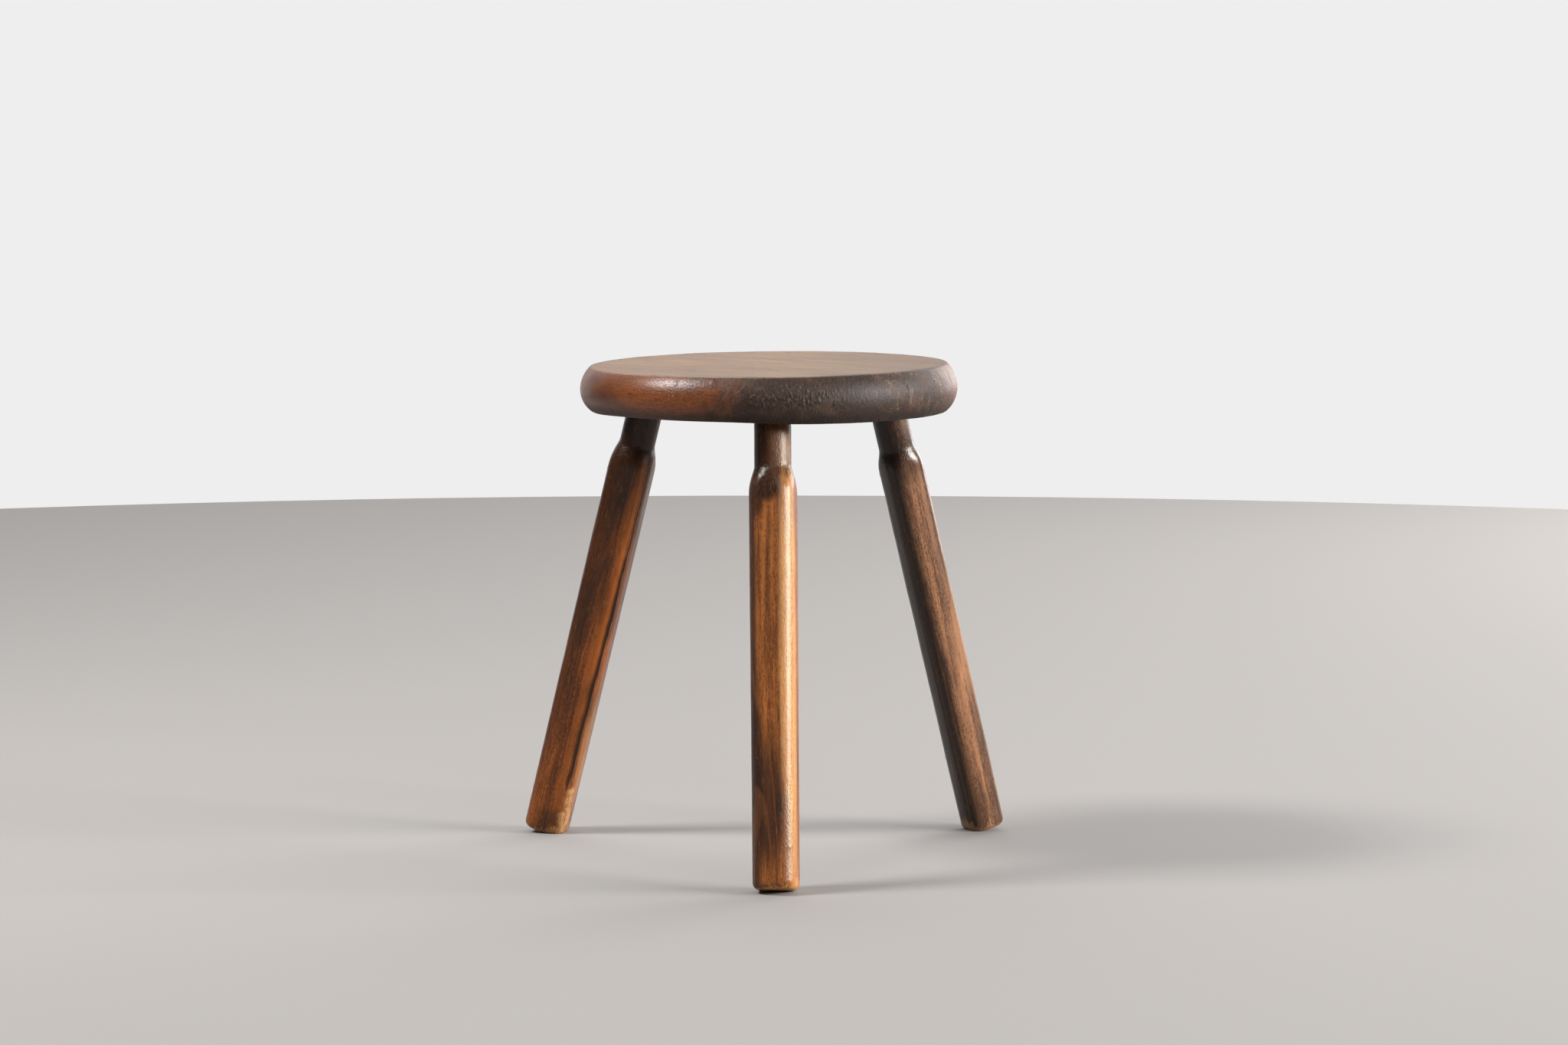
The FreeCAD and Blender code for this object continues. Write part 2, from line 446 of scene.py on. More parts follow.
seatWidest = seatShape["top"] - seatShape["widestDepth"]


def seatProfile():
    s = seatShape
    points = []
    for side, radius, rise, softening in (
            (1, s["upperSwell"], s["widestDepth"], s["topSoftening"]),
            (-1, s["lowerSwell"], s["thickness"] - s["widestDepth"], s["bottomSoftening"])):
        touch = asin((rise - softening) / (radius - softening))
        swell = arcPoints(seatRadius - radius, seatWidest, radius, 0, side * touch, s["swellRings"])
        softX = seatRadius - radius + (radius - softening) * cos(touch)
        softZ = seatWidest + side * (rise - softening)
        soft = arcPoints(softX, softZ, softening, side * touch, side * pi / 2, s["softRings"])
        flat = straightPoints(soft[-1], (0, 1, seatWidest + side * rise), s["flatRings"])
        half = swell + soft[1:] + flat[1:]
        points = points + half[1:] if points else half[::-1]
    return points


# Legs: the same stance and sizes as the CAD nodes

legShape = dict(
    circleRadius=118 * mm, splay=radians(15.15), underside=373.5 * mm, footAxisHeight=1.9 * mm,
    shavedShare=0.2, shaveWander=1.2 * mm, shoulderSoftness=4.5 * mm, footTaper=0.952,
    rim=5.8 * mm, neckRadius=15.2 * mm, hollow=14 * mm, slope=radians(20), round=18 * mm,
    margin=0.4 * mm, tenonEnd=28 * mm, columns=144, ringStep=1.5 * mm,
    endRings=4, hollowRings=8, roundRings=6, rimRings=6, footRings=12,
    kerfDepth=21 * mm, kerfTip=1.6 * mm, kerfMouth=4.4 * mm, grainAzimuth=radians(-45),
    wear=dict(
        waveSize=35 * mm, waveDepth=0.25 * mm, dentDensity=1600.0, dentRadius=2.5 * mm,
        dentDepth=0.3 * mm),
)
# The left leg is split along its right-hand shaved corner, and that corner is broken off at the foot
leftFaults = [
    dict(azimuth=radians(165.5), radius=21.7 * mm, lean=0.024, top=-60 * mm, length=290 * mm,
         fade=0.08, width=2.0 * mm, depth=1.4 * mm, wander=6 * mm, wanderSize=34 * mm,
         maskName="split", haloName="halo", seed=2.0),
    dict(azimuth=radians(178), radius=20.5 * mm, lean=0.02, top=-338 * mm, length=64 * mm,
         fade=0.06, width=13 * mm, depth=1.9 * mm, wander=7 * mm, wanderSize=7 * mm,
         maskName="chip", haloName="chipHalo", seed=2.0),
]
legSides = dict(
    front=dict(azimuth=radians(-90), side=37.5 * mm, turn=radians(-16.5), shoulder=61.5 * mm,
               softness=5.5 * mm, seed=3, faults=[]),
    left=dict(azimuth=radians(150), side=38.3 * mm, turn=radians(16.5), shoulder=59 * mm,
              softness=6 * mm, seed=11, faults=leftFaults),
    right=dict(azimuth=radians(30), side=35.6 * mm, turn=radians(-4.5), shoulder=59 * mm,
               softness=8.5 * mm, seed=23, faults=[]),
)
footEnd = -(legShape["underside"] - legShape["footAxisHeight"]) / cos(legShape["splay"])


def legPlace(azimuth):
    out = Vector((cos(azimuth), sin(azimuth), 0)) * legShape["circleRadius"]
    lean = Matrix.Rotation(azimuth, 4, "Z") @ Matrix.Rotation(-legShape["splay"], 4, "Y")
    return Matrix.Translation(out + Vector((0, 0, legShape["underside"]))) @ lean


def ringsIn(length):
    return max(2, round(length / legShape["ringStep"]))


def legProfile(side, shoulderEnd):
    s = legShape
    half = side / 2
    full = hypot(half, half - side * s["shavedShare"]) + s["margin"]
    neck, slope, tenonEnd = s["neckRadius"], s["slope"], s["tenonEnd"]
    roundTopX = full - s["round"] * (1 - cos(slope))
    roundTopZ = -shoulderEnd + s["round"] * sin(slope)
    slopeWidth = roundTopX - neck - s["hollow"] * (1 - cos(slope))
    hollowZ = roundTopZ + slopeWidth / tan(slope) + s["hollow"] * sin(slope)
    points = straightPoints((neck, 0, tenonEnd), (neck, 1, tenonEnd), s["endRings"])
    points += straightPoints((neck, 1, tenonEnd), (neck, 1, hollowZ), ringsIn(tenonEnd - hollowZ))[1:]
    points += arcPoints(neck + s["hollow"], hollowZ, -s["hollow"], 0, slope, s["hollowRings"])[1:]
    points += straightPoints(points[-1], (roundTopX, 1, roundTopZ), ringsIn(slopeWidth) * 2)[1:]
    points += arcPoints(full - s["round"], -shoulderEnd, s["round"], slope, 0, s["roundRings"])[1:]
    rimTop = footEnd + s["rim"]
    points += straightPoints(points[-1], (full, 1, rimTop), ringsIn(-shoulderEnd - rimTop))[1:]
    for step in range(1, s["rimRings"] + 1):
        angle = step / s["rimRings"] * pi / 2
        points.append((full, 1 - s["rim"] / half * (1 - cos(angle)), rimTop - s["rim"] * sin(angle)))
    points += straightPoints(points[-1], (full, 0, footEnd), s["footRings"])[1:]
    return points


# A wedge-shaped cutter for the tenon's kerf, in the leg's own axes
def kerfCutter(azimuth):
    s = legShape
    reach, above = 2 * s["neckRadius"], 5 * mm
    tip, top = s["tenonEnd"] - s["kerfDepth"], s["tenonEnd"] + above
    growth = (s["kerfMouth"] - s["kerfTip"]) / s["kerfDepth"]
    corners = []
    for y in (-reach, reach):
        for z in (tip, top):
            half = (s["kerfTip"] + growth * (z - tip)) / 2
            corners += [(-half, y, z), (half, y, z)]
    faces = [(0, 1, 3, 2), (4, 6, 7, 5), (0, 4, 5, 1), (2, 3, 7, 6), (0, 2, 6, 4), (1, 5, 7, 3)]
    mesh = bpy.data.meshes.new("kerf")
    mesh.from_pydata(corners, [], faces)
    mesh.transform(Matrix.Rotation(s["grainAzimuth"] - azimuth, 4, "Z"))
    return newObject("kerf", mesh)


def boreCutter(azimuth):
    radius, depth, below = seatShape["boreRadius"], seatShape["boreDepth"], 30 * mm
    points = [(radius, 0, -below), (radius, 1, -below), (radius, 1, depth), (radius, 0, depth)]
    line = profileLine("boreLine", points)
    bore = newObject("bore")
    addTree(bore, turnedForm, profile=line, around=seatShape["boreColumns"], along=len(points))
    settle(bore, legPlace(azimuth))
    discard(line)
    return bore


def cutAway(piece, cutter):
    modifier = piece.modifiers.new("cut", "BOOLEAN")
    modifier.operation = "DIFFERENCE"
    modifier.solver = "EXACT"
    modifier.object = cutter


# Shader groups that the finishes share. Grain space: z runs along the grain.

def newGrainGroup(name, outputs, **inputs):
    return newTree(name, "ShaderNodeTree", {"Grain": vector3, **labelled(inputs)}, outputs, number)


# Noise with this many waves on a metre across the grain and along it
def grainNoise(spot, across, along, detail=2.0, roughness=0.5):
    return noise(vectorCalc("MULTIPLY", spot, (across, across, along)), 1.0, detail, roughness)


def buildWoodFigure():
    tree, given, result = newGrainGroup(
        "woodFigure", ["Rings", "Streaks", "Flecks", "Glints", "Bands", "Clouds", "Dapple", "Fibres"],
        seed=0.0, ringWidth=0.004, ringWander=0.004, pith=vector3, pithLean=vector3,
        streakWidth=0.0015, fleckWidth=0.0005, fleckLength=0.007, fleckCover=0.3)
    streakStretch, fleckEdge = 20.0, 0.12
    grain, seed = given["Grain"], given["Seed"]
    spot = vectorCalc("ADD", grain, joinXyz(seed, times(seed, 0.7), times(seed, 0.3)))

    def stretched(across, along, *settings):
        cell = addNode(tree, "ShaderNodeCombineXYZ", {"X": across, "Y": across, "Z": along}).outputs[0]
        return noise(vectorCalc("DIVIDE", spot, cell), 1.0, *settings)

    # Growth rings lie round a pith that may lean away from the piece, which draws arches on its faces
    lean = scaled(given["Pith Lean"], splitXyz(grain)["Z"])
    fromPith = splitXyz(vectorCalc("SUBTRACT", vectorCalc("SUBTRACT", grain, given["Pith"]), lean))
    distance = lengthOf(joinXyz(fromPith["X"], fromPith["Y"]))
    bend = times(minus(stretched(22 * mm, 130 * mm), 0.5), given["Ring Wander"])
    share = calc("FRACT", over(plus(distance, bend), given["Ring Width"]))
    feed(result["Rings"], times(ramp(share, 0.3, 0.88), ramp(share, 1.0, 0.93)))

    streakLength = times(given["Streak Width"], streakStretch)
    feed(result["Streaks"], stretched(given["Streak Width"], streakLength, 4.0, 0.62))
    fine = stretched(given["Fleck Width"], given["Fleck Length"], 1.0)
    dark = ramp(given["Fleck Cover"], 0.0, 1.0, 0.78, 0.42, smooth=False)
    pale = minus(1.0, dark)
    feed(result["Flecks"], ramp(fine, dark, plus(dark, fleckEdge)))
    feed(result["Glints"], ramp(fine, pale, minus(pale, fleckEdge)))
    feed(result["Bands"], stretched(6 * mm, 170 * mm, 3.0, 0.55))
    feed(result["Clouds"], stretched(22 * mm, 100 * mm, 4.0, 0.6))
    feed(result["Dapple"], stretched(1.1 * mm, 2.6 * mm, 2.0, 0.55))
    feed(result["Fibres"], stretched(0.6 * mm, 14 * mm, 2.0, 0.6))
    return tree


# A darker or lighter side of the wood, bounded by a line that runs along the grain
def buildStainedSide():
    tree, given, result = newGrainGroup(
        "stainedSide", ["Mask"], edge=0.0, lean=0.0, softness=0.003, wobble=0.006, seed=0.0)
    wavesAcross, wavesAlong = 90.0, 22.0
    place = splitXyz(given["Grain"])
    spot = joinXyz(given["Seed"], times(place["X"], wavesAcross), times(place["Z"], wavesAlong))
    wobble = waver(spot, given["Wobble"], 1.0, 4.0, 0.6)
    edge = plus(given["Edge"], times(given["Lean"], place["Z"]), wobble)
    soft = given["Softness"]
    feed(result["Mask"], ramp(minus(edge, place["X"]), times(soft, -1.0), soft))
    return tree


# A patch of stain: an ellipsoid in grain space with an uneven edge
def buildStainPatch():
    tree, given, result = newGrainGroup(
        "stainPatch", ["Mask"], centre=vector3, size=vector3, softness=0.35, wobble=0.6, seed=0.0)
    wavesAcross, wavesAlong = 220.0, 45.0
    off = vectorCalc("DIVIDE", vectorCalc("SUBTRACT", given["Grain"], given["Centre"]), given["Size"])
    x, y, z = splitXyz(given["Grain"])
    spot = joinXyz(times(x, wavesAcross), plus(times(y, wavesAcross), given["Seed"]), times(z, wavesAlong))
    reach = plus(lengthOf(off), waver(spot, given["Wobble"], 1.0, 3.0, 0.6))
    feed(result["Mask"], ramp(reach, plus(1.0, given["Softness"]), minus(1.0, given["Softness"])))
    return tree


# Finish rubbed off the arrises and knocked off in specks; the pale specks are partly painted highlights on
# dents
def buildRubbedWear():
    tree, given, result = newGrainGroup(
        "rubbedWear", ["Worn", "Specks"], arris=0.0, amount=0.5, specks=0.3, seed=0.0)
    gateShare, speckEdge = 0.5, 0.05
    spot = vectorCalc("ADD", given["Grain"], joinXyz(given["Seed"]))
    broad = grainNoise(spot, 120.0, 24.0, 4.0, 0.65)
    feed(result["Worn"], ramp(times(given["Arris"], plus(broad, given["Amount"])), 0.45, 0.95))
    gate = times(minus(grainNoise(spot, 40.0, 16.0), 0.5), gateShare)
    chipped = plus(grainNoise(spot, 420.0, 170.0), gate)
    bar = ramp(given["Specks"], 0.0, 1.0, 0.86, 0.56, smooth=False)
    feed(result["Specks"], ramp(chipped, bar, plus(bar, speckEdge)))
    return tree


woodFigure = buildWoodFigure()
stainedSide = buildStainedSide()
stainPatch = buildStainPatch()
rubbedWear = buildRubbedWear()
print("shader groups built")


# Helpers for the finishes

def useGroup(group, **inputs):
    node = addNode(treeOf(*inputs.values()), "ShaderNodeGroup", labelled(inputs), node_tree=group)
    return {output.name.lower(): output for output in node.outputs}


def blend(factor, first, second):
    inputs = {0: factor, 6: first, 7: second}
    return addNode(factor.id_data, "ShaderNodeMix", inputs, data_type="RGBA").outputs[2]


# A colour laid over another where the mask is
def layer(base, colour, mask, strength):
    return blend(times(mask, strength), base, colour)


def mixed(masks, shares):
    return plus(*[times(masks[name], share) for name, share in shares.items()])


def objectPlace(tree):
    return tree.nodes.new("ShaderNodeTexCoord").outputs["Object"]


def grainSpace(coords, axes):
    inputs = {"Vector": coords, "Location": axes.to_translation(), "Rotation": axes.to_euler()}
    return addNode(coords.id_data, "ShaderNodeMapping", inputs, vector_type="TEXTURE").outputs[0]


def axesMatrix(right, back, along, origin):
    matrix = Matrix((right, back, along)).transposed().to_4x4()
    matrix.translation = origin
    return matrix


def legGrain(azimuth):
    leaning = legPlace(azimuth)
    along = leaning.to_3x3() @ Vector((0, 0, 1))
    right = Vector((1, 0, 0))
    right = (right - along * right.dot(along)).normalized()
    return axesMatrix(right, along.cross(right), along, leaning.to_translation())


def seatGrain():
    along = Vector((cos(legShape["grainAzimuth"]), sin(legShape["grainAzimuth"]), 0))
    upward = Vector((0, 0, 1))
    return axesMatrix(upward.cross(along), upward, along, Vector((0, 0, seatShape["top"])))


def newFinish(name):
    material = bpy.data.materials.new(name)
    material.use_nodes = True
    return material, material.node_tree.nodes["Principled BSDF"]


def readMask(tree, name):
    return addNode(tree, "ShaderNodeAttribute", attribute_name=name).outputs["Fac"]


def dress(shader, colour, roughness, relief, s):
    inputs = {"Strength": s["bump"], "Distance": s["bumpDistance"], "Height": relief}
    bump = addNode(shader.id_data, "ShaderNodeBump", inputs)
    feed(shader.inputs["Base Color"], colour)
    feed(shader.inputs["Roughness"], roughness)
    feed(shader.inputs["Normal"], bump.outputs[0])


# Marks, sides and bands are placed in leg axes as seen from the front: right, back and up from the seat.
# A mark's centre and half sizes are in millimetres.
def mark(centre, halfSize, strength, softness=0.35):
    place = {"centre": [c * mm for c in centre], "size": [c * mm for c in halfSize], "softness": softness}
    return {"place": place, "strength": strength}


legFinishes = dict(
    front=dict(
        seed=0.31, light=tone(168, 101, 49), dark=tone(102, 56, 30), deep=tone(86, 47, 29),
        ring=tone(82, 44, 25), fleck=tone(80, 45, 26), stainAndShade=tone(44, 27, 23),
        worn=tone(226, 168, 98), rings=0.2, archLines=0.16, clouds=(0.5, 0.74),
        specks=0.16, relief=1.1, arrisWear=0.08, footWear=0.5, neck=0.65,
        reflection=0.37, waxTint=(1.0, 0.95, 0.78, 1.0),
        growth=dict(ringWidth=5.0 * mm, pith=(-9 * mm, 16 * mm, 0.0), pithLean=(0.0, 0.07, 0.0)),
        side=dict(edge=-15 * mm, lean=0.0, softness=2 * mm, wobble=3 * mm), sideStrength=0.85,
        bands=[
            dict(edge=2.6 * mm, lean=0.0, width=1.4 * mm, bottom=-300 * mm, top=-236 * mm, strength=0.5),
            dict(edge=-1.5 * mm, lean=0.03, width=4 * mm, bottom=-205 * mm, top=-80 * mm, strength=0.3),
        ],
        patches=[
            mark((-5, -14, -55), (11, 15, 14), 1.02, 0.3),
            mark((-12.5, -13, -68), (4.5, 9, 14), 0.9, 0.5),
            mark((0, 0, -41), (40, 40, 6), 0.7, 0.5),
            # Painted shade: the neck's left side, turned away from the light
            mark((-14, -8, -16), (11, 20, 32), 0.85, 0.4),
            mark((-17, -12, -294), (6.5, 18, 82), 0.95, 0.5),
            mark((-5, -16, -316), (13, 16, 52), 0.9, 0.45),
            mark((4.5, -16, -316), (3, 16, 16), 0.8, 0.6),
        ],
        # Rubbed runs by the right shaved corner: partly wear, partly a painted highlight where the light
        # strikes it
        rubbedAndHighlit=[
            mark((8, -16, -180), (5, 12, 130), 0.36),
            mark((8.5, -16, -262), (4, 12, 40), 0.3),
            mark((13.5, -13, -215), (4.5, 12, 180), 0.5),
        ],
        golden=[],
    ),
    left=dict(
        seed=1.73, light=tone(156, 84, 32), dark=tone(78, 40, 19), deep=tone(48, 27, 17),
        ring=tone(60, 32, 18), fleck=tone(58, 32, 20), stainAndShade=tone(38, 21, 14),
        worn=tone(192, 142, 92), rings=0.15, archLines=0.08, clouds=(0.44, 0.64),
        specks=0.12, relief=0.6, arrisWear=-0.02, footWear=0.36, neck=0.75,
        reflection=0.28, waxTint=(1.0, 0.95, 0.85, 1.0),
        growth=dict(ringWidth=6.0 * mm, pith=(22 * mm, 14 * mm, 0.0), pithLean=(-0.02, 0.03, 0.0)),
        side=dict(edge=6 * mm, lean=0.07, softness=5 * mm, wobble=16 * mm), sideStrength=0.72,
        bands=[],
        patches=[
            mark((-4, -16, -50), (32, 32, 66), 0.5, 0.4),
            mark((-9, -16, -178), (13, 20, 34), 0.45, 0.6),
            mark((18, -7, -120), (6, 22, 110), 0.6, 0.5),
            mark((3, -16, -374), (12, 20, 12), 0.6, 0.6),
        ],
        rubbedAndHighlit=[mark((16.5, -9, -310), (5, 16, 50), 0.3)],
        golden=[mark((7, -16, -185), (7, 16, 90), 0.1, 0.7)],
    ),
    right=dict(
        seed=2.57, light=tone(172, 121, 84), dark=tone(86, 55, 40), deep=tone(72, 45, 34),
        ring=tone(88, 53, 32), fleck=tone(70, 43, 28), stainAndShade=tone(23, 16, 14),
        worn=tone(200, 152, 106), rings=0.2, archLines=0.1, clouds=(0.5, 0.72),
        specks=0.12, relief=0.3, arrisWear=-0.06, footWear=0.34, neck=0.7,
        reflection=0.29, waxTint=(1.0, 0.98, 0.95, 1.0),
        growth=dict(ringWidth=5.5 * mm, pith=(-20 * mm, 18 * mm, 0.0), pithLean=(0.02, 0.02, 0.0)),
        # The left half is painted dark: partly stain, partly painted shade on the side turned away from the
        # light
        side=dict(edge=0.0, lean=0.0, softness=8 * mm, wobble=7 * mm), sideStrength=0.92,
        bands=[],
        patches=[
            mark((0, -16, -46), (30, 30, 20), 0.7, 0.5),
            mark((21, -6, -210), (8, 26, 230), 0.3, 0.5),
            mark((0, -16, -372), (24, 26, 26), 0.45, 0.6),
            mark((13, -13, -125), (5, 20, 62), 0.4, 0.7),
            mark((15, -12, -305), (5, 20, 44), 0.4, 0.7),
        ],
        rubbedAndHighlit=[],
        golden=[
            mark((13, -13, -222), (5, 18, 34), 0.07, 0.7),
            mark((7, -15, -285), (4, 18, 52), 0.06, 0.7),
        ],
    ),
)
# What all legs share. Heights run up from the seat's underside, and the foot's from the floor.
legWax = dict(
    roughness=0.26, coat=0.1, coatRoughness=0.15, bump=0.5, bumpDistance=0.45 * mm,
    crack=tone(26, 16, 12),
    figure=dict(streakWidth=1.8 * mm, fleckWidth=0.6 * mm, fleckLength=9 * mm, fleckCover=0.38),
    grading=dict(bands=0.36, streaks=0.2, dapple=0.24, fibres=0.2), gradingEnds=(0.415, 0.585),
    worked=dict(streaks=0.5, dapple=0.5),
    soaked=(0.38, 0.62, 1.0, 0.78), patchy=(0.36, 0.62, 0.3, 1.35), bared=(0.38, 0.58, 0.25, 0.95),
    bandSoftness=0.6 * mm, bandWobble=3.5 * mm, bandFade=8 * mm,
    archRings=(0.6, 1.0), archHeights=(-170 * mm, -230 * mm),
    neckShadeHeights=(-40 * mm, -18 * mm), neckClouds=30 * mm,
    footHeights=(7 * mm, 3 * mm), footRagged=34 * mm,
    glossyHeights=(-110 * mm, -90 * mm), handledHeights=(-46 * mm, -38 * mm),
    shades=dict(clouds=0.8, flecks=0.45, glints=0.2, arris=0.3, specks=0.55, halo=0.65,
                chipHalo=0.5, dent=0.5, split=0.95),
    matt=dict(flecks=0.12, clouds=0.1, worn=0.1, chip=0.3, glossy=-0.13, handled=0.04),
    relief=dict(streaks=0.6, flecks=-0.4),
)
bandSeed, rubbedAndHighlitSeed, goldenSeed = 3, 7, 11


def makeLegWood(name):
    s, wax, shades = legFinishes[name], legWax, legWax["shades"]
    material, shader = newFinish(name + "LegWood")
    tree = material.node_tree
    coords = objectPlace(tree)
    grain = grainSpace(coords, legGrain(legSides[name]["azimuth"]))
    height = splitXyz(grain)["Z"]
    figure = useGroup(woodFigure, grain=grain, seed=s["seed"], **s["growth"], **wax["figure"])

    def markMasks(kind, firstSeed=0):
        for seed, spot in enumerate(s[kind], firstSeed):
            group = useGroup(stainPatch, grain=grain, seed=s["seed"] + seed, **spot["place"])
            yield group["mask"], spot["strength"]

    def sideMask(seed, **side):
        return useGroup(stainedSide, grain=grain, seed=s["seed"] + seed, **side)["mask"]

    # The bare figure, with golden runs where it took less stain
    grading, worked = mixed(figure, wax["grading"]), mixed(figure, wax["worked"])
    for mask, shift in markMasks("golden", goldenSeed):
        grading = minus(grading, times(mask, shift))
    colour = blend(ramp(grading, *wax["gradingEnds"]), s["light"], s["dark"])
    colour = layer(colour, s["deep"], ramp(figure["clouds"], *s["clouds"]), shades["clouds"])
    colour = layer(colour, s["ring"], figure["rings"], s["rings"])

    # Stain, partly painted shade: a darker side, bands along the grain, patches, and the neck
    colour = layer(colour, s["stainAndShade"], sideMask(0, **s["side"]), s["sideStrength"])
    for step, band in enumerate(s["bands"]):
        nearer, farther = [sideMask(
            bandSeed + step, edge=band["edge"] + half * band["width"], lean=band["lean"],
            softness=wax["bandSoftness"], wobble=wax["bandWobble"]) for half in (-0.5, 0.5)]
        ends = between(height, band["bottom"], band["top"], wax["bandFade"])
        colour = layer(colour, s["stainAndShade"], times(minus(farther, nearer), ends), band["strength"])
    soaked = ramp(worked, *wax["soaked"])
    glossy = 0.0
    for mask, strength in markMasks("patches"):
        patch = times(mask, soaked, strength)
        colour = blend(patch, colour, s["stainAndShade"])
        glossy = larger(glossy, patch)
    arches = times(ramp(figure["rings"], *wax["archRings"]), s["archLines"])
    colour = blend(times(arches, ramp(height, *wax["archHeights"])), colour, s["light"])
    # The neck darkens towards the seat: partly stain, partly painted shadow of the seat
    neck = ramp(plus(height, times(figure["clouds"], wax["neckClouds"])), *wax["neckShadeHeights"])
    colour = layer(colour, s["stainAndShade"], neck, s["neck"])
    colour = layer(colour, s["fleck"], figure["flecks"], shades["flecks"])
    # Painted glints: pale flecks that stand in for small highlights
    colour = layer(colour, s["worn"], figure["glints"], shades["glints"])

    # Wear, partly painted highlight: arrises, specks, the foot, rubbed runs and the chip
    wear = useGroup(rubbedWear, grain=grain, arris=readMask(tree, "arris"), amount=s["arrisWear"],
                    specks=s["specks"], seed=s["seed"])
    ragged = times(minus(plus(worked, figure["clouds"]), 1.0), wax["footRagged"])
    foot = ramp(plus(splitXyz(coords)["Z"], ragged), *wax["footHeights"])
    worn = larger(times(wear["worn"], shades["arris"]), times(foot, s["footWear"]),
                  times(wear["specks"], shades["specks"]))
    patchy = ramp(worked, *wax["patchy"])
    for mask, strength in markMasks("rubbedAndHighlit", rubbedAndHighlitSeed):
        worn = larger(worn, times(mask, patchy, strength))
    chip = readMask(tree, "chip")
    worn = larger(worn, times(chip, ramp(worked, *wax["bared"])))
    for halo in ("halo", "chipHalo"):
        colour = layer(colour, s["stainAndShade"], readMask(tree, halo), shades[halo])
    # Worn wood is pale; along the front leg's right corner and in the specks it is partly a painted highlight
    colour = blend(worn, colour, s["worn"])
    colour = layer(colour, s["stainAndShade"], readMask(tree, "dent"), shades["dent"])
    colour = layer(colour, wax["crack"], readMask(tree, "split"), shades["split"])

    handled = ramp(height, *wax["handledHeights"])
    glossy = times(glossy, ramp(height, *wax["glossyHeights"]))
    masks = {**figure, "worn": worn, "chip": chip, "glossy": glossy, "handled": handled}
    relief = plus(mixed(figure, wax["relief"]), times(figure["dapple"], plus(s["relief"], handled)))
    dress(shader, colour, plus(wax["roughness"], mixed(masks, wax["matt"])), relief, wax)
    shader.inputs["Specular IOR Level"].default_value = s["reflection"]
    shader.inputs["Specular Tint"].default_value = s["waxTint"]
    shader.inputs["Coat Weight"].default_value = wax["coat"]
    shader.inputs["Coat Roughness"].default_value = wax["coatRoughness"]
    return material


# Turns along the edge are in radians from the middle of the end grain, and waves are on a metre
seatFinish = dict(
    light=tone(130, 72, 34), dark=tone(96, 51, 25), deep=tone(66, 36, 21), ring=tone(80, 44, 26),
    fleck=tone(60, 35, 23), endGrainAndShade=tone(32, 22, 16), endBrown=tone(90, 65, 48),
    scarLight=tone(150, 118, 92), crack=tone(20, 14, 12), topLight=tone(128, 96, 64),
    topDark=tone(85, 62, 41), dust=tone(143, 118, 89), topStainAndShade=tone(84, 62, 46),
    roughness=0.3, topRoughness=0.5, dustRoughness=0.14, reflection=0.4,
    bump=0.5, bumpDistance=0.4 * mm,
    figure=dict(
        seed=4.2, ringWidth=6.5 * mm, ringWander=9 * mm, pith=(170 * mm, -20 * mm, 0.0),
        pithLean=(0.02, 0.0, 0.0), streakWidth=1.5 * mm, fleckWidth=0.8 * mm, fleckLength=4 * mm,
        fleckCover=0.4),
    grading=dict(streaks=0.34, clouds=0.26, speckle=0.4), gradingEnds=(0.4, 0.6), clouds=(0.46, 0.66),
    speckleWaves=700.0, mottleWaves=55.0, endWaves=(90.0, 90.0, 32.0), driftWaves=45.0,
    breakWaves=160.0, cloudWaves=(38.0, 12.0), gritWaves=(900.0, 700.0),
    shadedTurns=(-1.15, -1.6), shaded=0.4,
    endSlant=3.0, endRagged=0.45, endStart=(-0.14, 0.14), endFinish=(0.5, -0.1),
    lineTurns=(-1.04, -0.46), lineSpacing=0.048, lineBow=-1.3, lineDrift=3.0,
    lineHeight=394 * mm, lineReach=14 * mm, scuffTurns=(0.16, 0.8), turnFade=0.1,
    underHeights=(seatWidest - 6 * mm, seatShape["top"] - seatShape["thickness"] + 3 * mm),
    dustSeed=2.0, dustRange=(0.45, 0.7),
    spill=dict(centre=(55 * mm, -127 * mm, 412 * mm), size=(30 * mm, 8 * mm, 20 * mm), softness=0.5),
    topShade=(10 * mm, 150 * mm, 0.0, 0.5), rimRadii=(141 * mm, 149 * mm),
    shades=dict(clouds=0.7, rings=0.12, ends=0.94, mottle=0.6, lines=0.3, scuffs=0.4,
                under=0.75, flecks=0.4, raised=0.28, torn=0.6, topRings=0.25, dust=0.35,
                spill=0.5, rim=0.75, dent=0.3),
    matt=dict(flecks=0.12, ends=0.2, mottledEnds=0.12, clouds=0.08, under=0.25),
    relief=dict(streaks=0.6, flecks=-0.4, dapple=0.8),
)


